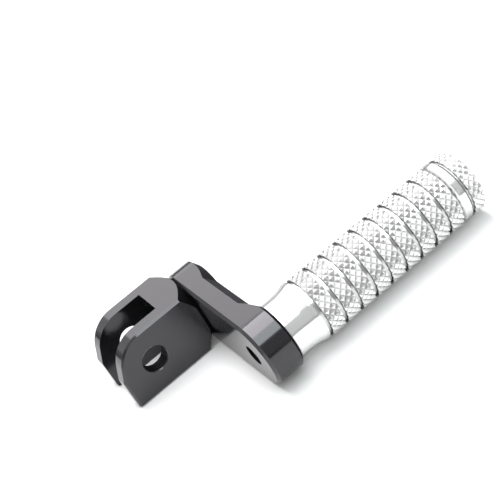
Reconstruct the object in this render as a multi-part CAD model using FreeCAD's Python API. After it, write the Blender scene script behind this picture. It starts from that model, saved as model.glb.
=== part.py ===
import FreeCAD, Part
import math
import os

# Foot peg on a swinging extension arm, with a clevis block for the pivot pin
#
# X runs along the peg towards its free tip, Z is up, and the origin is the centre of
# the cross bore that takes the pivot pin. The arm reaches along -Y. Sizes are in mm.

# Clevis block, milled from square bar and turned at its back end
bar_width = 25.0
bar_height = 26.2
pivot_d = 10.0
bore_edge = 0.3
nose_lead = 1.3
nose_flat_top = -0.6
nose_corner_r = 1.2
slot_width = 14.0
slot_depth = 11.2
back_reach = 23.3
back_circle_r = 13.0
back_cone_deg = 45.0
block_edge = 0.75

# Extension arm, a plate square to the peg, relieved between its two bosses
arm_offset = 48.0
arm_thick = 12.0
arm_edge = 1.1
screw_boss_r = 9.6
peg_boss_r = 11.8
peg_boss_deg = 40.0
strap_half = 5.8
strap_deg = 31.5

# Countersunk screw that clamps the arm to the clevis block
clamp_d = 6.0
clamp_head_d = 12.0
clamp_lip = 0.3
clamp_length = 20.0
clamp_recess = 0.2
clamp_hex = 4.0
clamp_hex_depth = 2.3
clamp_chamfer = 0.6
clamp_hole_spare = 2.0

# Turned peg, with knurled bands between ring grooves
neck_d = 22.6
neck_length = 4.9
neck_edge = 0.3
flare_length = 6.0
flange_length = 1.2
grip_d = 24.8
groove_width = 1.5
groove_floor_d = 22.8
band_count = 9
knurl_start_count = 24
knurl_row_count = 4
knurl_depth = 0.6
vee_width = 1.6
ring_width = 2.5

# Long bolt inside the peg, with its two washers
bolt_d = 8.0
bolt_length = 70.0
bolt_chamfer = 0.8
bolt_head_d = 13.0
bolt_head_height = 8.0
bolt_head_room = 2.95
bolt_hex = 6.0
bolt_hex_depth = 4.0
thread_spare = 3.6
tip_bore_d = 16.0
flat_washer_d = 15.0
flat_washer_thick = 1.6
spring_washer_d = 13.6
spring_washer_thick = 2.0
spring_washer_split = 0.8

# End cap, plugged into the peg's tip and held by a rubber ring
cap_band_width = 4.9
cap_edge = 0.7
cap_step = 0.15
plug_length = 8.0
plug_edge = 0.5
seal_d = 1.8
seal_inset = 4.0

# Clearances
swing_clearance = 0.08
thread_clearance = 0.02
bolt_clearance = 0.2
plug_clearance = 0.05

# The clevis block and the arm, and the two axes that run along X
axis_z = 0.0
top_z = axis_z + bar_height / 2
bottom_z = axis_z - bar_height / 2
nose_reach = top_z + nose_lead
arm_width = bar_height
arm_face = back_reach + arm_thick
peg_y = -arm_offset

# The bolt in the peg, which is as long as its bolt and the cap's plug need
bolt_tip = back_reach + thread_spare
bolt_seat = bolt_tip + bolt_length
bolt_end = bolt_seat + bolt_head_height
plug_end = bolt_end + bolt_head_room
cap_joint = plug_end + plug_length
spring_seat = bolt_seat - spring_washer_thick
tip_floor = spring_seat - flat_washer_thick
bolt_hole_r = bolt_d / 2 + bolt_clearance

# The peg's outside, with its bands spread evenly between the flange and the smooth ring
grip_r = grip_d / 2
floor_r = groove_floor_d / 2
valley_r = grip_r - knurl_depth
vee_depth = grip_r - floor_r
ring_end = cap_joint - vee_depth
ring_start = ring_end - ring_width
vee_start = ring_start - vee_width
cap_band_start = ring_end + vee_width
cap_band_end = cap_band_start + cap_band_width
grip_start = arm_face + neck_length + flare_length + flange_length
band_pitch = (vee_start - grip_start) / band_count
plug_r = tip_bore_d / 2 - plug_clearance
seal_centre_r = plug_r - seal_d / 2
seal_floor_r = seal_centre_r - seal_d / 2 - plug_clearance
seal_x = cap_joint - seal_inset


def revolved(outline, y):
    """Solid of revolution about the line along X at (y, axis_z), from (x, radius) points."""
    points = [FreeCAD.Vector(x, y, axis_z + radius) for x, radius in outline]
    face = Part.Face(Part.makePolygon(points + points[:1]))
    return face.revolve(FreeCAD.Vector(0, y, axis_z), FreeCAD.Vector(1, 0, 0), 360)


def rod(radius, start, end, y):
    """Round bar along X, from start to end."""
    base = FreeCAD.Vector(start, y, axis_z)
    return Part.makeCylinder(radius, end - start, base, FreeCAD.Vector(1, 0, 0))


def hex_socket(across_flats, start, end, y):
    """Six-sided bar along X, for a hexagon socket."""
    corner_r = across_flats / math.sqrt(3)
    points = []
    for step in range(7):
        angle = math.radians(60 * step)
        points.append(FreeCAD.Vector(start, y + corner_r * math.cos(angle),
                                     axis_z + corner_r * math.sin(angle)))
    return Part.Face(Part.makePolygon(points)).extrude(FreeCAD.Vector(end - start, 0, 0))


def edges_on(shape, inside):
    """Edges of a shape whose every sample point passes a test."""
    chosen = []
    for edge in shape.Edges:
        first, last = edge.ParameterRange
        samples = [edge.valueAt(first), edge.valueAt((first + last) / 2), edge.valueAt(last)]
        if all(inside(point) for point in samples):
            chosen.append(edge)
    return chosen


def clevis_outline():
    """Side outline of the clevis block in the plane of the slot."""
    side = -bar_width / 2

    def at(x, z):
        return FreeCAD.Vector(x, side, z)

    # The nose is round about the bore and runs straight to its flat front
    reach = math.hypot(nose_reach, nose_flat_top)
    tangent_angle = math.atan2(nose_flat_top, -nose_reach) % (2 * math.pi) - math.acos(top_z / reach)
    middle_angle = (math.pi / 2 + tangent_angle) / 2
    tangent = at(top_z * math.cos(tangent_angle), top_z * math.sin(tangent_angle))
    arc_middle = at(top_z * math.cos(middle_angle), top_z * math.sin(middle_angle))
    shoulder = at(-nose_reach, nose_flat_top)
    corner_top = at(-nose_reach, bottom_z + nose_corner_r)
    corner_rise = nose_corner_r * (1 - math.sqrt(0.5))
    corner_middle = at(-nose_reach + corner_rise, bottom_z + corner_rise)
    corner_end = at(-nose_reach + nose_corner_r, bottom_z)
    edges = [
        Part.LineSegment(at(back_reach, bottom_z), at(back_reach, top_z)).toShape(),
        Part.LineSegment(at(back_reach, top_z), at(0, top_z)).toShape(),
        Part.Arc(at(0, top_z), arc_middle, tangent).toShape(),
        Part.LineSegment(tangent, shoulder).toShape(),
        Part.LineSegment(shoulder, corner_top).toShape(),
        Part.Arc(corner_top, corner_middle, corner_end).toShape(),
        Part.LineSegment(corner_end, at(back_reach, bottom_z)).toShape(),
    ]
    return Part.Wire(edges)


def make_clevis_mount():
    """Forked block with the pivot bore, a turned back end and a tapped hole for the screw."""
    side = bar_width / 2
    block = Part.Face(clevis_outline()).extrude(FreeCAD.Vector(0, bar_width, 0))

    def on_side(point):
        return abs(abs(point.y) - side) < 0.01

    block = block.makeChamfer(block_edge, edges_on(block, on_side))

    # The back end is turned to a cone that leaves a round face for the arm
    blank_r = bar_width + bar_height
    cone_run = (blank_r - back_circle_r) / math.tan(math.radians(back_cone_deg))
    blank_front = -2 * nose_reach - cone_run
    turned = revolved([(blank_front, 0), (blank_front, blank_r), (back_reach - cone_run, blank_r),
                       (back_reach, back_circle_r), (back_reach, 0)], 0)
    block = block.common(turned)

    # The slot runs out through the nose, and right through from top to bottom
    slot_front = -nose_reach - block_edge
    slot = Part.makeBox(slot_depth - slot_front, slot_width, 2 * bar_height,
                        FreeCAD.Vector(slot_front, -slot_width / 2, -bar_height))
    block = block.cut(slot)

    # Pivot bore, with broken edges at both side faces
    along_y = FreeCAD.Vector(0, 1, 0)
    bore_r = pivot_d / 2
    mouth_r = bore_r + bore_edge
    near_side = FreeCAD.Vector(0, -side, 0)
    bore = Part.makeCylinder(bore_r, bar_width, near_side, along_y)
    near_edge = Part.makeCone(mouth_r, bore_r, bore_edge, near_side, along_y)
    far_edge = Part.makeCone(bore_r, mouth_r, bore_edge, FreeCAD.Vector(0, side - bore_edge, 0), along_y)
    screw_tip = arm_face - clamp_recess - clamp_length
    tapped_hole = rod(clamp_d / 2 + thread_clearance, screw_tip - clamp_hole_spare, back_reach, 0)
    return block.cut([bore, near_edge, far_edge, tapped_hole])


def boss_cone(boss_r, slope_deg, y):
    """Cone that leaves a flat round boss on the arm's peg side."""
    spread = arm_thick / math.tan(math.radians(slope_deg))
    return revolved([(back_reach, 0), (back_reach, boss_r + spread), (arm_face, boss_r), (arm_face, 0)], y)


def make_extension_arm():
    """Plate with round ends, bevelled between two bosses, with the screw's seat and the bolt's thread."""
    end_r = arm_width / 2
    high = axis_z + end_r
    low = axis_z - end_r

    def at(y, z):
        return FreeCAD.Vector(back_reach, y, z)

    outline = Part.Wire([
        Part.LineSegment(at(0, low), at(peg_y, low)).toShape(),
        Part.Arc(at(peg_y, low), at(peg_y - end_r, axis_z), at(peg_y, high)).toShape(),
        Part.LineSegment(at(peg_y, high), at(0, high)).toShape(),
        Part.Arc(at(0, high), at(end_r, axis_z), at(0, low)).toShape(),
    ])
    plate = Part.Face(outline).extrude(FreeCAD.Vector(arm_thick, 0, 0))

    def on_inner_face(point):
        return abs(point.x - back_reach) < 0.01

    plate = plate.makeChamfer(arm_edge, edges_on(plate, on_inner_face))

    # The strap between the bosses has sloping shoulders on the peg side
    strap_spread = arm_thick / math.tan(math.radians(strap_deg))
    section = Part.makePolygon([
        FreeCAD.Vector(arm_face, 0, axis_z - strap_half),
        FreeCAD.Vector(arm_face, 0, axis_z + strap_half),
        FreeCAD.Vector(back_reach, 0, axis_z + strap_half + strap_spread),
        FreeCAD.Vector(back_reach, 0, axis_z - strap_half - strap_spread),
        FreeCAD.Vector(arm_face, 0, axis_z - strap_half),
    ])
    strap = Part.Face(section).extrude(FreeCAD.Vector(0, peg_y, 0))
    screw_boss = boss_cone(screw_boss_r, strap_deg, 0)
    peg_boss = boss_cone(peg_boss_r, peg_boss_deg, peg_y)
    plate = plate.common(strap.fuse([screw_boss, peg_boss]))

    # Countersunk seat: the screw's own outline, grown by the swing clearance
    head_r = clamp_head_d / 2
    hole_r = clamp_d / 2 + swing_clearance
    seat_r = head_r + swing_clearance * math.sqrt(2)
    seat_top = arm_face - clamp_recess - clamp_lip
    seat = revolved([(back_reach, 0), (back_reach, hole_r), (seat_top - (seat_r - hole_r), hole_r),
                     (seat_top, seat_r), (arm_face, seat_r), (arm_face, 0)], 0)
    threaded_hole = rod(bolt_d / 2 + thread_clearance, back_reach, arm_face, peg_y)
    return plate.cut([seat, threaded_hole])


def make_clamp_screw():
    """Countersunk socket screw, flush in the arm and threaded into the clevis block."""
    head_r = clamp_head_d / 2
    shank_r = clamp_d / 2
    top = arm_face - clamp_recess
    tip = top - clamp_length
    cone_end = top - clamp_lip - (head_r - shank_r)
    screw = revolved([(tip, 0), (tip, shank_r - clamp_chamfer), (tip + clamp_chamfer, shank_r),
                      (cone_end, shank_r), (top - clamp_lip, head_r), (top, head_r), (top, 0)], 0)
    return screw.cut(hex_socket(clamp_hex, top - clamp_hex_depth, top, 0))


def knurled_band(start, width, inner_r):
    """Ring with pyramids all round, left by two crossed sets of grooves at about 45 degrees."""
    steps = 2 * knurl_start_count

    def corner(around, along):
        radius = grip_r if (around + along) % 2 else valley_r
        angle = math.pi * around / knurl_start_count
        return FreeCAD.Vector(start + width * along / knurl_row_count,
                              peg_y + radius * math.cos(angle), axis_z + radius * math.sin(angle))

    def triangle(a, b, c):
        return Part.Face(Part.makePolygon([a, b, c, a]))

    faces = []
    for along in range(knurl_row_count):
        for around in range(steps):
            a = corner(around, along)
            b = corner(around + 1, along)
            c = corner(around + 1, along + 1)
            d = corner(around, along + 1)
            if (around + along) % 2:
                faces += [triangle(a, b, d), triangle(b, c, d)]
            else:
                faces += [triangle(a, b, c), triangle(a, c, d)]
    for along in (0, knurl_row_count):
        rim = [corner(around, along) for around in range(steps)]
        faces.append(Part.Face(Part.makePolygon(rim + rim[:1])))
    shell = Part.Shell(faces)
    shell.sewShape()
    band = Part.Solid(shell)
    if band.Volume < 0:
        band.reverse()
    return band.cut(rod(inner_r, start, start + width, peg_y))


def make_peg_grip():
    """Turned peg: neck, flare, knurled bands between ring grooves, and a smooth ring at the tip."""
    neck_r = neck_d / 2
    band_core_r = (floor_r + tip_bore_d / 2) / 2
    flare_start = arm_face + neck_length
    flare_end = flare_start + flare_length

    def at(x, radius):
        return FreeCAD.Vector(x, peg_y, axis_z + radius)

    # The flare is an arc that leaves the neck tangentially
    flare_rise = grip_r - neck_r
    flare_r = (flare_length ** 2 + flare_rise ** 2) / (2 * flare_rise)
    half_turn = math.atan2(flare_rise, flare_length)
    flare_middle = at(flare_start + flare_r * math.sin(half_turn),
                      neck_r + flare_r * (1 - math.cos(half_turn)))
    before = [(arm_face, bolt_hole_r), (arm_face, neck_r - neck_edge), (arm_face + neck_edge, neck_r),
              (flare_start, neck_r)]
    after = [(flare_end, grip_r), (grip_start, grip_r), (grip_start, floor_r),
             (ring_start - vee_depth, floor_r), (ring_start, grip_r), (ring_end, grip_r),
             (cap_joint, floor_r), (cap_joint, tip_bore_d / 2), (tip_floor, tip_bore_d / 2),
             (tip_floor, bolt_hole_r), (arm_face, bolt_hole_r)]
    profile = Part.Wire([
        Part.makePolygon([at(*point) for point in before]),
        Part.Arc(at(flare_start, neck_r), flare_middle, at(flare_end, grip_r)).toShape(),
        Part.makePolygon([at(*point) for point in after]),
    ])
    peg = Part.Face(profile).revolve(at(0, 0), FreeCAD.Vector(1, 0, 0), 360)

    band_width = band_pitch - groove_width
    bands = []
    for index in range(band_count):
        bands.append(knurled_band(grip_start + groove_width + index * band_pitch, band_width, band_core_r))
    return peg.fuse(bands)


def make_peg_bolt():
    """Long socket bolt that draws the peg and its washers against the arm's thread."""
    shank_r = bolt_d / 2
    head_r = bolt_head_d / 2
    bolt = revolved([(bolt_tip, 0), (bolt_tip, shank_r - bolt_chamfer), (bolt_tip + bolt_chamfer, shank_r),
                     (bolt_seat, shank_r), (bolt_seat, head_r), (bolt_end, head_r), (bolt_end, 0)], peg_y)
    return bolt.cut(hex_socket(bolt_hex, bolt_end - bolt_hex_depth, bolt_end, peg_y))


def make_washer(outer_d, start, thickness):
    """Flat ring round the bolt."""
    ring = rod(outer_d / 2, start, start + thickness, peg_y)
    return ring.cut(rod(bolt_hole_r, start, start + thickness, peg_y))


def make_spring_washer():
    """Split ring under the bolt's head, with its slanting cut."""
    ring = make_washer(spring_washer_d, spring_seat, spring_washer_thick)
    lean = spring_washer_thick / 2
    section = Part.makePolygon([
        FreeCAD.Vector(spring_seat, peg_y - lean, axis_z),
        FreeCAD.Vector(spring_seat, peg_y - lean + spring_washer_split, axis_z),
        FreeCAD.Vector(bolt_seat, peg_y + lean + spring_washer_split, axis_z),
        FreeCAD.Vector(bolt_seat, peg_y + lean, axis_z),
        FreeCAD.Vector(spring_seat, peg_y - lean, axis_z),
    ])
    return ring.cut(Part.Face(section).extrude(FreeCAD.Vector(0, 0, spring_washer_d)))


def make_end_cap():
    """Cap with a knurled band, a rounded edge and a plug that enters the peg's tip."""
    cap_end = cap_band_end + cap_edge
    rim_r = valley_r - cap_step
    seal_half = seal_d / 2 + plug_clearance

    def at(x, radius):
        return FreeCAD.Vector(x, peg_y, axis_z + radius)

    rim_middle = at(cap_band_end + cap_edge * math.sqrt(0.5), rim_r - cap_edge * (1 - math.sqrt(0.5)))
    before = [(plug_end, 0), (plug_end, plug_r - plug_edge), (plug_end + plug_edge, plug_r),
              (seal_x - seal_half, plug_r), (seal_x - seal_half, seal_floor_r),
              (seal_x + seal_half, seal_floor_r), (seal_x + seal_half, plug_r), (cap_joint, plug_r),
              (cap_joint, floor_r), (cap_band_end, floor_r), (cap_band_end, rim_r)]
    profile = Part.Wire([
        Part.makePolygon([at(*point) for point in before]),
        Part.Arc(at(cap_band_end, rim_r), rim_middle, at(cap_end, rim_r - cap_edge)).toShape(),
        Part.makePolygon([at(cap_end, rim_r - cap_edge), at(cap_end, 0), at(plug_end, 0)]),
    ])
    cap = Part.Face(profile).revolve(at(0, 0), FreeCAD.Vector(1, 0, 0), 360)
    return cap.fuse(knurled_band(cap_band_start, cap_band_width, plug_r))


def make_cap_seal():
    """Rubber ring in the plug's groove."""
    centre = FreeCAD.Vector(seal_x, peg_y, axis_z)
    return Part.makeTorus(seal_centre_r, seal_d / 2, centre, FreeCAD.Vector(1, 0, 0))


nodes = {
    "clevis_mount": make_clevis_mount(),
    "extension_arm": make_extension_arm(),
    "clamp_screw": make_clamp_screw(),
    "peg_grip": make_peg_grip(),
    "peg_bolt": make_peg_bolt(),
    "flat_washer": make_washer(flat_washer_d, tip_floor, flat_washer_thick),
    "spring_washer": make_spring_washer(),
    "end_cap": make_end_cap(),
    "cap_seal": make_cap_seal(),
}

os.makedirs("parts", exist_ok=True)
for name, shape in nodes.items():
    shape.exportStep("parts/" + name + ".step")
    print(name, "valid", shape.isValid(), "solids", len(shape.Solids), "faces", len(shape.Faces),
          "volume", round(shape.Volume, 1))
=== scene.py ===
# %% [markdown]
# Foot peg on a swinging arm: the looks
#
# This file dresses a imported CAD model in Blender. The CAD gives the shapes and the way the arm
# turns, and it stays where it is. The steps here add a camera, a studio, the finishes of the
# metals and of the rubber ring, and the thread in the arm's open hole.
# Each step has a note first, then a short cell of code.

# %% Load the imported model
import math

import bmesh
import bpy
from mathutils import Matrix, Vector


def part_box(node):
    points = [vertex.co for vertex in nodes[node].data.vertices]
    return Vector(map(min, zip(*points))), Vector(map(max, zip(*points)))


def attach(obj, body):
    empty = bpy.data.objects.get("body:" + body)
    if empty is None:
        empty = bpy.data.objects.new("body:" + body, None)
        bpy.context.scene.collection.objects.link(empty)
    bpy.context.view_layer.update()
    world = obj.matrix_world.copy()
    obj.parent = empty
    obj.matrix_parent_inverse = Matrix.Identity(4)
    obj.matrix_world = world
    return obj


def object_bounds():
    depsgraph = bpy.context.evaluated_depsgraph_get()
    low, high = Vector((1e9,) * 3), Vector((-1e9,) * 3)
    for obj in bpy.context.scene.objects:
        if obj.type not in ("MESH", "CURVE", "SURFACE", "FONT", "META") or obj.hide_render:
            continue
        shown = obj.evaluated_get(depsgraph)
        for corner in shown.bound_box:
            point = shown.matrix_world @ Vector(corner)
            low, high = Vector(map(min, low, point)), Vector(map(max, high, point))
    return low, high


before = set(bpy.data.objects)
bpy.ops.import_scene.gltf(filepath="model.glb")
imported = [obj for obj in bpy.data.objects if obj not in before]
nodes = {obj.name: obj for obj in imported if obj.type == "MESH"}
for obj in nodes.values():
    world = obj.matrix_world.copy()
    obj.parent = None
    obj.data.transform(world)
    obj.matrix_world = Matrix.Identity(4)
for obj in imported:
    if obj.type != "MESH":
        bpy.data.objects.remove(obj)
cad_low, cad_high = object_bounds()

scene = bpy.context.scene
MM = 0.001
print("CAD nodes:", sorted(nodes))
print("CAD box in mm:", [round(v / MM, 1) for v in cad_low], [round(v / MM, 1) for v in cad_high])

# %% [markdown]
# The camera
#
# A camera is placed by its position and by three directions: to its right, up, and back towards
# the viewer. Here all of them follow the view of the reference, a three-quarter view from above
# with the camera rolled, so the peg climbs to the upper right. The lens is long, which keeps the
# perspective mild, as in most product pictures.

# %% Camera
FOCAL_PIXELS = 1357.55
PICTURE_PIXELS = 500
SENSOR_WIDTH_MM = 36
NEAREST_SEEN = 10 * MM
FARTHEST_SEEN = 20.0

camera_place = Vector((-54.68, -408.99, 279.98)) * MM
camera_right = Vector((0.75401, -0.49458, -0.43227))
camera_up = Vector((0.62072, 0.32122, 0.71521))
camera_back = camera_right.cross(camera_up)

camera_data = bpy.data.cameras.new("camera")
camera_data.sensor_width = SENSOR_WIDTH_MM
camera_data.lens = SENSOR_WIDTH_MM * FOCAL_PIXELS / PICTURE_PIXELS
camera_data.clip_start = NEAREST_SEEN
camera_data.clip_end = FARTHEST_SEEN
camera = bpy.data.objects.new("camera", camera_data)
turn = Matrix((camera_right, camera_up, camera_back)).transposed()
camera.matrix_world = Matrix.Translation(camera_place) @ turn.to_4x4()
scene.collection.objects.link(camera)
scene.camera = camera
print("Lens in mm:", round(camera_data.lens, 1))

# %% [markdown]
# Names for the sizes that the looks need
#
# The peg and its bolt share one axis along X, and the block and its screw share another. Every
# place below is measured from the CAD nodes, so it follows them if they move. The grip and the
# smooth ring near its end have no nodes of their own, so their distances are written here.

# %% Measure the CAD nodes
ARM_TO_GRIP = 11.9 * MM
RING_START_TO_TIP = 9.1 * MM
RING_END_TO_TIP = 6.4 * MM

peg_low, peg_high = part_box("peg_grip")
screw_low, screw_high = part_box("clamp_screw")
peg_axis = (peg_low + peg_high) / 2
screw_axis = (screw_low + screw_high) / 2
arm_back, arm_face = (corner.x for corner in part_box("extension_arm"))
bolt_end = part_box("peg_bolt")[0].x
peg_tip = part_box("end_cap")[1].x
floor_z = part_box("clevis_mount")[0].z
grip_start = arm_face + ARM_TO_GRIP
ring_start = peg_tip - RING_START_TO_TIP
ring_end = peg_tip - RING_END_TO_TIP
for label, axis in (("Peg", peg_axis), ("Screw", screw_axis)):
    print(label, "axis at y, z in mm:", round(axis.y / MM, 2), round(axis.z / MM, 2))

# %% [markdown]
# A few helpers for shader nodes
#
# A material is a small graph of nodes. These helpers add one node, or a chain of nodes, in one
# line, so that the cells below read like a recipe.

# %% Node helpers
def add_node(tree, kind, **settings):
    """Adds one shader node and sets its properties."""
    node = tree.nodes.new(kind)
    for name, value in settings.items():
        setattr(node, name, value)
    return node


def feed(tree, socket, value):
    """Links an output to a socket, or writes a plain value on it."""
    if isinstance(value, bpy.types.NodeSocket):
        tree.links.new(value, socket)
    else:
        socket.default_value = value


def maths(tree, operation, first, second=0.0, clamp=False):
    """One step of arithmetic between two values or outputs."""
    node = add_node(tree, "ShaderNodeMath", operation=operation, use_clamp=clamp)
    feed(tree, node.inputs[0], first)
    feed(tree, node.inputs[1], second)
    return node.outputs[0]


def product(tree, first, *others):
    """Several values or outputs multiplied together."""
    for other in others:
        first = maths(tree, "MULTIPLY", first, other)
    return first


def ramp(tree, value, low, high, to_low=0.0, to_high=1.0):
    """A smooth step: value from low to high becomes to_low to to_high."""
    node = add_node(tree, "ShaderNodeMapRange", interpolation_type="SMOOTHSTEP")
    for index, number in enumerate((value, low, high, to_low, to_high)):
        feed(tree, node.inputs[index], number)
    return node.outputs[0]


def blend_colour(tree, amount, first, second):
    """Mixes two colours by an amount from 0 to 1."""
    node = add_node(tree, "ShaderNodeMix", data_type="RGBA", blend_type="MIX")
    feed(tree, node.inputs[0], amount)
    feed(tree, node.inputs[6], first)
    feed(tree, node.inputs[7], second)
    return node.outputs[2]


def noise(tree, vector, scale, detail=2.0, roughness=0.5):
    """Soft random patches on a set of coordinates."""
    node = add_node(tree, "ShaderNodeTexNoise")
    feed(tree, node.inputs["Vector"], vector)
    node.inputs["Scale"].default_value = scale
    node.inputs["Detail"].default_value = detail
    node.inputs["Roughness"].default_value = roughness
    return node.outputs["Fac"]


def stretched(tree, vector, x, y, z):
    """Scales coordinates, which draws a pattern out along the small ones."""
    node = add_node(tree, "ShaderNodeMapping")
    feed(tree, node.inputs["Vector"], vector)
    node.inputs["Scale"].default_value = (x, y, z)
    return node.outputs["Vector"]


def object_coordinates(tree):
    """Coordinates fixed to the object, in metres."""
    return add_node(tree, "ShaderNodeTexCoord").outputs["Object"]


def split_axes(tree, vector):
    """The X, Y and Z outputs of a vector."""
    node = add_node(tree, "ShaderNodeSeparateXYZ")
    feed(tree, node.inputs[0], vector)
    return node.outputs


def facing_x(tree):
    """How far the surface faces along X, from -1 to 1."""
    geometry = add_node(tree, "ShaderNodeNewGeometry")
    return split_axes(tree, geometry.outputs["True Normal"])["X"]


def seen_directly(tree):
    """One for what the camera or a shiny surface sees, and zero for light that only arrives."""
    rays = add_node(tree, "ShaderNodeLightPath").outputs
    seen = maths(tree, "ADD", rays["Is Camera Ray"], rays["Is Glossy Ray"])
    return maths(tree, "ADD", seen, rays["Is Transmission Ray"], clamp=True)


def grey(level):
    """A neutral colour of one level."""
    return (level, level, level, 1.0)


print("Node helpers are ready")

# %% [markdown]
# The studio
#
# A pale floor runs out in all directions, and a white surround hides where it ends. The camera
# and the metals see the same white surround, but it lights matt surfaces less than it shows.
# Shiny metal looks like what stands around it, so a photographer places cards as well as lamps.
# Here a tall grey card stands behind the camera and a low one stands behind the object, which
# gives the round parts their dark bands. The key lamp hangs overhead and drops the soft shadows,
# the front lamp draws a cool stripe on the arm's round end, and a low lamp behind the object lies
# in line with the mirror direction of the flat tops, so they turn pale.

# %% Floor
FLOOR_HALF_WIDTH = 4.0
FLOOR_GAP = 0.05 * MM
FLOOR_PALE = 0.95
GLOW_NEAR, GLOW_FAR = 0.08, 0.6
GLOW_START, GLOW_END = 0.25, 1.3


def make_floor():
    """A pale matt sheet under the object, which glows more where the lamps don't reach."""
    mesh = bpy.data.meshes.new("studio_floor")
    shape = bmesh.new()
    bmesh.ops.create_grid(shape, x_segments=1, y_segments=1, size=FLOOR_HALF_WIDTH)
    bmesh.ops.translate(shape, verts=shape.verts, vec=(0, 0, floor_z - FLOOR_GAP))
    shape.to_mesh(mesh)
    shape.free()
    floor = bpy.data.objects.new("studio_floor", mesh)
    scene.collection.objects.link(floor)

    paper = bpy.data.materials.new("studio_paper")
    paper.use_nodes = True
    tree = paper.node_tree
    tree.nodes.clear()
    matt = add_node(tree, "ShaderNodeBsdfDiffuse")
    matt.inputs["Color"].default_value = grey(FLOOR_PALE)
    glow = add_node(tree, "ShaderNodeEmission")
    glow.inputs["Color"].default_value = grey(1.0)
    away = add_node(tree, "ShaderNodeVectorMath", operation="LENGTH")
    tree.links.new(object_coordinates(tree), away.inputs[0])
    level = ramp(tree, away.outputs["Value"], GLOW_START, GLOW_END, GLOW_NEAR, GLOW_FAR)
    feed(tree, glow.inputs["Strength"], product(tree, level, seen_directly(tree)))
    both = add_node(tree, "ShaderNodeAddShader")
    tree.links.new(matt.outputs[0], both.inputs[0])
    tree.links.new(glow.outputs[0], both.inputs[1])
    out = add_node(tree, "ShaderNodeOutputMaterial")
    tree.links.new(both.outputs[0], out.inputs["Surface"])
    mesh.materials.append(paper)


make_floor()
print("Floor at z in mm:", round(floor_z / MM, 2))

# %% Surround
SURROUND_LIGHT = 0.42


def make_surround():
    """A world that is white in every picture of it, and lights matt surfaces more gently."""
    world = bpy.data.worlds.new("studio_surround")
    scene.world = world
    world.use_nodes = True
    tree = world.node_tree
    tree.nodes.clear()
    white = add_node(tree, "ShaderNodeBackground")
    white.inputs["Color"].default_value = grey(1.0)
    strength = ramp(tree, seen_directly(tree), 0.0, 1.0, SURROUND_LIGHT, 1.0)
    feed(tree, white.inputs["Strength"], strength)
    out = add_node(tree, "ShaderNodeOutputWorld")
    tree.links.new(white.outputs[0], out.inputs["Surface"])


make_surround()
scene.view_settings.view_transform = "Standard"
print("Light of the surround:", SURROUND_LIGHT)

# %% Grey cards
CARD_HALF_WIDTH = 2.6
CARD_FOOT, CARD_LEVEL = 0.08, 0.40
SHADE_START, SHADE_END = 0.05, 0.20


def make_board():
    """The cards' material, an even grey glow that is darkest at their foot."""
    board = bpy.data.materials.new("studio_board")
    board.use_nodes = True
    tree = board.node_tree
    tree.nodes.clear()
    height = split_axes(tree, object_coordinates(tree))["Z"]
    glow = add_node(tree, "ShaderNodeEmission")
    glow.inputs["Color"].default_value = grey(1.0)
    level = ramp(tree, height, SHADE_START, SHADE_END, CARD_FOOT, CARD_LEVEL)
    feed(tree, glow.inputs["Strength"], level)
    out = add_node(tree, "ShaderNodeOutputMaterial")
    tree.links.new(glow.outputs[0], out.inputs["Surface"])
    return board


def make_card(name, board, place_y, height):
    """An upright card that faces the object, seen only in reflections."""
    mesh = bpy.data.meshes.new(name)
    shape = bmesh.new()
    upright = Matrix.Rotation(math.radians(90), 3, "X")
    bmesh.ops.create_grid(shape, x_segments=1, y_segments=1, size=0.5)
    bmesh.ops.rotate(shape, verts=shape.verts, cent=(0, 0, 0), matrix=upright)
    bmesh.ops.scale(shape, verts=shape.verts, vec=(2 * CARD_HALF_WIDTH, 1, height))
    bmesh.ops.translate(shape, verts=shape.verts, vec=(0, place_y, floor_z + height / 2))
    shape.to_mesh(mesh)
    shape.free()
    mesh.materials.append(board)
    card = bpy.data.objects.new(name, mesh)
    card.visible_camera = False
    scene.collection.objects.link(card)


studio_board = make_board()
make_card("front_card", studio_board, place_y=-1.3, height=1.5)
make_card("back_card", studio_board, place_y=1.6, height=0.40)
print("Card levels:", CARD_FOOT, CARD_LEVEL)

# %% Lamps
LAMP_REACH = 1.0
PLAIN_LIGHT = (1.0, 0.985, 1.0)
COOL_LIGHT = (0.90, 1.0, 0.98)


def add_softbox(name, tilt, shift, wide, deep, level, colour):
    """An area lamp that faces the object: tilt is 0 behind it, 90 overhead and 180 in front."""
    data = bpy.data.lights.new(name, "AREA")
    data.shape = "RECTANGLE"
    data.size = wide
    data.size_y = deep
    data.energy = level * math.pi * wide * deep
    data.color = colour
    lamp = bpy.data.objects.new(name, data)
    middle = (cad_low + cad_high) / 2
    lamp.matrix_world = (Matrix.Translation(middle + Vector((shift, 0, 0)))
                         @ Matrix.Rotation(math.radians(tilt - 90), 4, "X")
                         @ Matrix.Translation((0, 0, LAMP_REACH)))
    scene.collection.objects.link(lamp)
    print("Lamp:", name, "of", wide, "by", deep, "m")


add_softbox("key_lamp", tilt=78, shift=0.02, wide=0.55, deep=0.93, level=6.3,
            colour=PLAIN_LIGHT)
add_softbox("front_lamp", tilt=118, shift=0.15, wide=0.42, deep=0.53, level=4.0,
            colour=COOL_LIGHT)
add_softbox("low_lamp", tilt=34, shift=0.15, wide=0.75, deep=0.55, level=1.65,
            colour=PLAIN_LIGHT)
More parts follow.
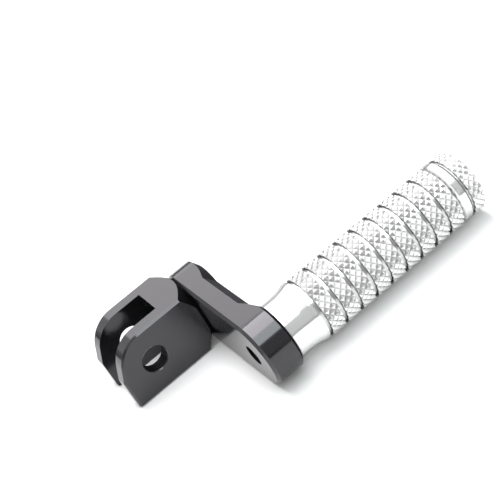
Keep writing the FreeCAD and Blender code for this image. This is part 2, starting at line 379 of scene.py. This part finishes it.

# %% [markdown]
# Black anodised aluminium
#
# Anodising leaves a thin hard layer of dyed oxide on the metal. It looks nearly black where it
# sees dark surroundings, and pale grey where a lamp glances off it. The layer is very fine
# grained, so the gloss is satin, and along sharp edges it is thinner and a little lighter.
# The finish is a dark base with a strong even reflection and very fine bump. The arm's sloping
# shoulders and the block's cone are cut more coarsely, so they are rough, and painted shade keeps
# them
# the darkest: there the metal takes on the near-black base colour.

# %% Shared effect: worn edges
def make_edge_group():
    """Node group that finds the edges of a shape by comparing its rounded and its real normal."""
    group = bpy.data.node_groups.new("worn_edges", "ShaderNodeTree")
    interface = group.interface
    for label, value in (("Radius", 0.3 * MM), ("Patchiness", 0.5)):
        socket = interface.new_socket(name=label, in_out="INPUT", socket_type="NodeSocketFloat")
        socket.default_value = value
    interface.new_socket(name="Mask", in_out="OUTPUT", socket_type="NodeSocketFloat")
    enter = add_node(group, "NodeGroupInput")
    leave = add_node(group, "NodeGroupOutput")
    bevel = add_node(group, "ShaderNodeBevel", samples=8)
    group.links.new(enter.outputs["Radius"], bevel.inputs["Radius"])
    real = add_node(group, "ShaderNodeNewGeometry")
    dot = add_node(group, "ShaderNodeVectorMath", operation="DOT_PRODUCT")
    group.links.new(bevel.outputs["Normal"], dot.inputs[0])
    group.links.new(real.outputs["Normal"], dot.inputs[1])
    turned = ramp(group, dot.outputs["Value"], 0.995, 0.85)
    patches = noise(group, object_coordinates(group), 900.0, 3.0, 0.6)
    broken = ramp(group, patches, 0.30, 0.60)
    missing = product(group, enter.outputs["Patchiness"], maths(group, "SUBTRACT", 1.0, broken))
    kept = maths(group, "SUBTRACT", 1.0, missing)
    group.links.new(product(group, turned, kept), leave.inputs["Mask"])
    return group


def place_group(tree, group, **values):
    """Places a shared effect in a material, with its own values."""
    node = add_node(tree, "ShaderNodeGroup", node_tree=group)
    for name, value in values.items():
        feed(tree, node.inputs[name], value)
    return node


worn_edges = make_edge_group()
print("Shared effect:", worn_edges.name)

# %% Black anodised finish
OXIDE_DARK = (0.009, 0.009, 0.010, 1.0)
OXIDE_LIGHT = (0.012, 0.0115, 0.013, 1.0)
WORN_OXIDE = (0.16, 0.16, 0.17, 1.0)
OXIDE_SHEEN = (0.98, 0.95, 1.0, 1.0)
OXIDE_IOR = 1.65
OXIDE_SMOOTHEST, OXIDE_ROUGHEST = 0.11, 0.15
SLOPE_ROUGHNESS = 0.80
SLOPES_START = 12 * MM
EDGE_WIDTH = 0.35 * MM
GRAIN_HEIGHT = 0.004 * MM


def new_finish(name):
    """A material with only a Principled shader and its output."""
    material = bpy.data.materials.new(name)
    material.use_nodes = True
    tree = material.node_tree
    tree.nodes.clear()
    shader = add_node(tree, "ShaderNodeBsdfPrincipled")
    out = add_node(tree, "ShaderNodeOutputMaterial")
    tree.links.new(shader.outputs[0], out.inputs["Surface"])
    return material, tree, shader


def bumped(tree, height, distance):
    """A normal that follows a height, where a height of one stands as tall as the distance."""
    node = add_node(tree, "ShaderNodeBump")
    node.inputs["Strength"].default_value = 1.0
    node.inputs["Distance"].default_value = distance
    feed(tree, node.inputs["Height"], height)
    return node.outputs["Normal"]


def make_black_anodised():
    """Satin black oxide with fine grain, slightly paler edges, and rough slopes in painted shade.
    """
    material, tree, shader = new_finish("black_anodised")
    place = object_coordinates(tree)
    cloud = noise(tree, place, 60.0, 3.0)
    base = blend_colour(tree, cloud, OXIDE_DARK, OXIDE_LIGHT)
    edge = place_group(tree, worn_edges, Radius=EDGE_WIDTH, Patchiness=0.5).outputs["Mask"]
    feed(tree, shader.inputs["Base Color"],
         blend_colour(tree, product(tree, edge, 0.5), base, WORN_OXIDE))

    # A slope faces partly along X. So does the cross bore's wall, so only faces past it count
    facing = facing_x(tree)
    along = split_axes(tree, place)["X"]
    rough_shaded_slopes = product(tree, ramp(tree, facing, 0.30, 0.45), ramp(tree, facing, 0.96, 0.90),
                     ramp(tree, along, SLOPES_START, SLOPES_START + MM))
    smooth = ramp(tree, cloud, 0.2, 0.8, OXIDE_SMOOTHEST, OXIDE_ROUGHEST)
    roughness = ramp(tree, rough_shaded_slopes, 0.0, 1.0, smooth, SLOPE_ROUGHNESS)
    feed(tree, shader.inputs["Roughness"], roughness)
    # Painted shade: on the slopes the metal takes the near-black base colour, which darkens them
    feed(tree, shader.inputs["Metallic"], rough_shaded_slopes)
    shader.inputs["IOR"].default_value = OXIDE_IOR
    shader.inputs["Specular Tint"].default_value = OXIDE_SHEEN

    streaks = noise(tree, stretched(tree, place, 0.04, 1.0, 1.0), 1400.0, 2.0)
    grain = maths(tree, "ADD", noise(tree, place, 9000.0, 2.0), product(tree, streaks, 0.8))
    feed(tree, shader.inputs["Normal"], bumped(tree, grain, GRAIN_HEIGHT))
    return material


black_anodised = make_black_anodised()
print("Finish:", black_anodised.name)

# %% [markdown]
# Bright turned aluminium
#
# The peg is turned on a lathe, so its smooth parts carry fine rings about the axis, and its grip
# is rolled with a knurl. Its tops are polished by handling, its valleys rougher with painted
# shade.
# The distance from the peg's axis tells tops from valleys, so the finish needs no picture.
# Rolling also leaves the pyramids a little uneven, which a soft bump gives. The shader's Specular
# Tint is set low, so the metal reflects less where it is seen at a grazing angle. This painted
# reflection draws a thin dark line along the outline of the neck, which would be lost against a
# white floor.

# %% Shared effect: rings left by a lathe
def make_lathe_group():
    """Node group with fine rings round an axis along X, and the distance from that axis."""
    group = bpy.data.node_groups.new("lathe_rings", "ShaderNodeTree")
    interface = group.interface
    for label, value in (("Axis Y", 0.0), ("Axis Z", 0.0), ("Rings", 9000.0)):
        socket = interface.new_socket(name=label, in_out="INPUT", socket_type="NodeSocketFloat")
        socket.default_value = value
    for label in ("Height", "Distance"):
        interface.new_socket(name=label, in_out="OUTPUT", socket_type="NodeSocketFloat")
    enter = add_node(group, "NodeGroupInput")
    leave = add_node(group, "NodeGroupOutput")
    split = split_axes(group, object_coordinates(group))
    across = maths(group, "SUBTRACT", split["Y"], enter.outputs["Axis Y"])
    above = maths(group, "SUBTRACT", split["Z"], enter.outputs["Axis Z"])
    squares = maths(group, "ADD", product(group, across, across), product(group, above, above))
    distance = maths(group, "SQRT", squares)
    both = add_node(group, "ShaderNodeCombineXYZ")
    feed(group, both.inputs[0], product(group, split["X"], enter.outputs["Rings"]))
    feed(group, both.inputs[1], product(group, distance, enter.outputs["Rings"]))
    group.links.new(noise(group, both.outputs[0], 1.0, 3.0, 0.6), leave.inputs["Height"])
    group.links.new(distance, leave.inputs["Distance"])
    return group


lathe_rings = make_lathe_group()
print("Shared effect:", lathe_rings.name)

# %% Bright aluminium finish
TOP_RADIUS = 12.2 * MM
VALLEY_RADIUS = 11.7 * MM
PALE, HOLLOW_SHADE, WALL_SHADE, FACED = grey(0.95), grey(0.60), grey(0.36), grey(0.62)
TURNED_METALLIC, ROLLED_METALLIC = 0.74, 0.88
POLISHED_ROUGHNESS, DULL_ROUGHNESS = 0.13, 0.26
PAINTED_OUTLINE_TINT = 0.12
RING_FINENESS = 9000.0
MARK_HEIGHT = 0.02 * MM
STEP = 0.1 * MM
END_DEPTH = 1.0 * MM


def make_bright_aluminium():
    """Pale metal with lathe rings, polished tops, painted shade in the hollows and on groove
    walls, a faced end.
    """
    material, tree, shader = new_finish("bright_aluminium")
    place = object_coordinates(tree)
    along = split_axes(tree, place)["X"]
    facing = facing_x(tree)
    rings = place_group(tree, lathe_rings, Rings=RING_FINENESS,
                        **{"Axis Y": peg_axis.y, "Axis Z": peg_axis.z}).outputs

    # Masks from 0 to 1 for the places along the peg: rolled is the knurl without the smooth ring
    gripped = ramp(tree, along, grip_start - 2 * STEP, grip_start)
    before_ring = ramp(tree, along, ring_start, ring_start - STEP)
    on_cap = ramp(tree, along, ring_end, ring_end + STEP)
    before_tip = ramp(tree, along, peg_tip - END_DEPTH, peg_tip - END_DEPTH - 2 * STEP)
    at_tip = ramp(tree, along, peg_tip - END_DEPTH - 2 * STEP, peg_tip - END_DEPTH)
    rolled = product(tree, gripped, maths(tree, "ADD", before_ring, product(tree, on_cap, 0.4)))

    # Masks for the kinds of surface: hollows of the knurl, walls of the grooves, and the end
    hollow = product(tree, ramp(tree, rings["Distance"], TOP_RADIUS, VALLEY_RADIUS), gripped)
    across = ramp(tree, maths(tree, "ABSOLUTE", facing), 0.80, 0.95)
    wall = product(tree, across, before_tip, gripped)
    on_end = ramp(tree, facing, 0.95, 0.99)

    # Painted shade: the knurl's hollows are darker in colour, half as much on the cap
    painted_hollow_shade = product(tree, hollow, maths(tree, "SUBTRACT", 1.0, product(tree, on_cap, 0.5)))
    colour = blend_colour(tree, painted_hollow_shade, PALE, HOLLOW_SHADE)
    # Painted shade: the walls of the grooves are darker in colour
    colour = blend_colour(tree, wall, colour, WALL_SHADE)
    colour = blend_colour(tree, product(tree, at_tip, on_end), colour, FACED)
    feed(tree, shader.inputs["Base Color"], colour)
    metallic = ramp(tree, rolled, 0.0, 1.0, TURNED_METALLIC, ROLLED_METALLIC)
    feed(tree, shader.inputs["Metallic"], metallic)
    roughness = ramp(tree, hollow, 0.0, 1.0, POLISHED_ROUGHNESS, DULL_ROUGHNESS)
    feed(tree, shader.inputs["Roughness"], roughness)
    # Painted reflection: a low Specular Tint draws a dark line along the peg's outline
    shader.inputs["Specular Tint"].default_value = grey(PAINTED_OUTLINE_TINT)

    # Lathe rings, the small pit that turning leaves in the middle of an end, and uneven pyramids
    marks = product(tree, rings["Height"], maths(tree, "ADD", 0.25, on_end))
    pit = product(tree, ramp(tree, rings["Distance"], 0.3 * MM, 1.1 * MM, -6.0, 0.0), on_end)
    dents = product(tree, noise(tree, place, 700.0, 2.0), rolled, 3.0)
    height = maths(tree, "ADD", maths(tree, "ADD", marks, pit), dents)
    feed(tree, shader.inputs["Normal"], bumped(tree, height, MARK_HEIGHT))
    return material


bright_aluminium = make_bright_aluminium()
print("Finish:", bright_aluminium.name)

# %% [markdown]
# Plated steel and rubber
#
# The bolt, the screw and the washers are zinc plated steel: a little darker and bluer than the
# aluminium. The sealing ring is plain black rubber with a faint grain.

# %% Steel and rubber finishes
STEEL_DARK = (0.50, 0.51, 0.53, 1.0)
STEEL_LIGHT = (0.62, 0.63, 0.65, 1.0)
RUBBER_DARK = (0.018, 0.018, 0.019, 1.0)
RUBBER_LIGHT = (0.030, 0.030, 0.030, 1.0)


def make_plated_steel():
    """Grey plated steel with faint clouds in its gloss."""
    material, tree, shader = new_finish("plated_steel")
    place = object_coordinates(tree)
    cloud = noise(tree, place, 220.0, 3.0)
    feed(tree, shader.inputs["Base Color"], blend_colour(tree, cloud, STEEL_DARK, STEEL_LIGHT))
    shader.inputs["Metallic"].default_value = 1.0
    feed(tree, shader.inputs["Roughness"], ramp(tree, cloud, 0.2, 0.8, 0.28, 0.40))
    feed(tree, shader.inputs["Normal"], bumped(tree, noise(tree, place, 5000.0, 2.0), 0.005 * MM))
    return material


def make_seal_rubber():
    """Matt black rubber."""
    material, tree, shader = new_finish("seal_rubber")
    place = object_coordinates(tree)
    cloud = noise(tree, place, 400.0, 3.0)
    feed(tree, shader.inputs["Base Color"], blend_colour(tree, cloud, RUBBER_DARK, RUBBER_LIGHT))
    feed(tree, shader.inputs["Roughness"], ramp(tree, cloud, 0.2, 0.8, 0.55, 0.70))
    feed(tree, shader.inputs["Normal"], bumped(tree, noise(tree, place, 6000.0, 2.0), 0.01 * MM))
    return material


plated_steel = make_plated_steel()
seal_rubber = make_seal_rubber()
print("Finishes:", plated_steel.name, seal_rubber.name)

# %% Dress the CAD nodes
finish_of = {
    "clevis_mount": black_anodised,
    "extension_arm": black_anodised,
    "clamp_screw": plated_steel,
    "peg_grip": bright_aluminium,
    "peg_bolt": plated_steel,
    "flat_washer": plated_steel,
    "spring_washer": plated_steel,
    "end_cap": bright_aluminium,
    "cap_seal": seal_rubber,
}
for name, finish in finish_of.items():
    node = nodes[name]
    node.data.materials.clear()
    node.data.materials.append(finish)
print("Dressed nodes:", len(finish_of))

# %% [markdown]
# The thread in the arm's open hole
#
# The hole at the peg's end of the arm is tapped for the long bolt, and its first turns can be
# seen from the block's side. A thread is one ridge wound along a screw line. It could be cut
# with a boolean, but spinning the ridge's cross-section about the hole's axis, with a small step
# along the axis each time, is quicker and gives clean quads.

# %% Thread in the arm
THREAD_PITCH = 1.25 * MM
THREAD_WALL_RADIUS = 4.04 * MM
THREAD_CREST_RADIUS = 3.42 * MM
BASE_HALF = 0.42 * THREAD_PITCH
CREST_HALF = 0.13 * THREAD_PITCH
END_ROOM = 0.6 * THREAD_PITCH
STEPS_A_TURN = 48
SLANT = Vector((1.0, 0.6, 0.3))


def make_thread(name, start, turns):
    """A ridge with sloping flanks, wound about the peg's axis inside a hole."""
    shape = bmesh.new()
    corners = [(-BASE_HALF, THREAD_WALL_RADIUS), (BASE_HALF, THREAD_WALL_RADIUS),
               (CREST_HALF, THREAD_CREST_RADIUS), (-CREST_HALF, THREAD_CREST_RADIUS)]
    section = shape.faces.new([shape.verts.new((start + along, peg_axis.y, peg_axis.z + radius))
                               for along, radius in corners])
    steps = int(round(turns * STEPS_A_TURN))
    bmesh.ops.spin(shape, geom=[section, *section.edges, *section.verts],
                   cent=(0, peg_axis.y, peg_axis.z), axis=(1, 0, 0),
                   dvec=(THREAD_PITCH / STEPS_A_TURN, 0, 0),
                   angle=math.tau * steps / STEPS_A_TURN, steps=steps)
    bmesh.ops.recalc_face_normals(shape, faces=shape.faces)
    # Spinning leaves the faces in an order that varies, so they are sorted along a slanted line
    shape.faces.sort(key=lambda face: face.calc_center_median().dot(SLANT))
    mesh = bpy.data.meshes.new(name)
    shape.to_mesh(mesh)
    shape.free()
    mesh.materials.append(black_anodised)
    piece = bpy.data.objects.new(name, mesh)
    scene.collection.objects.link(piece)
    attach(piece, "arm")
    return piece


# The ridge's middle stays clear of the arm's back and of the end of the bolt
turns_with_room = (bolt_end - arm_back - 2 * END_ROOM) / THREAD_PITCH
arm_thread = make_thread("arm_thread", arm_back + END_ROOM, turns_with_room)
print("Thread faces:", len(arm_thread.data.polygons))
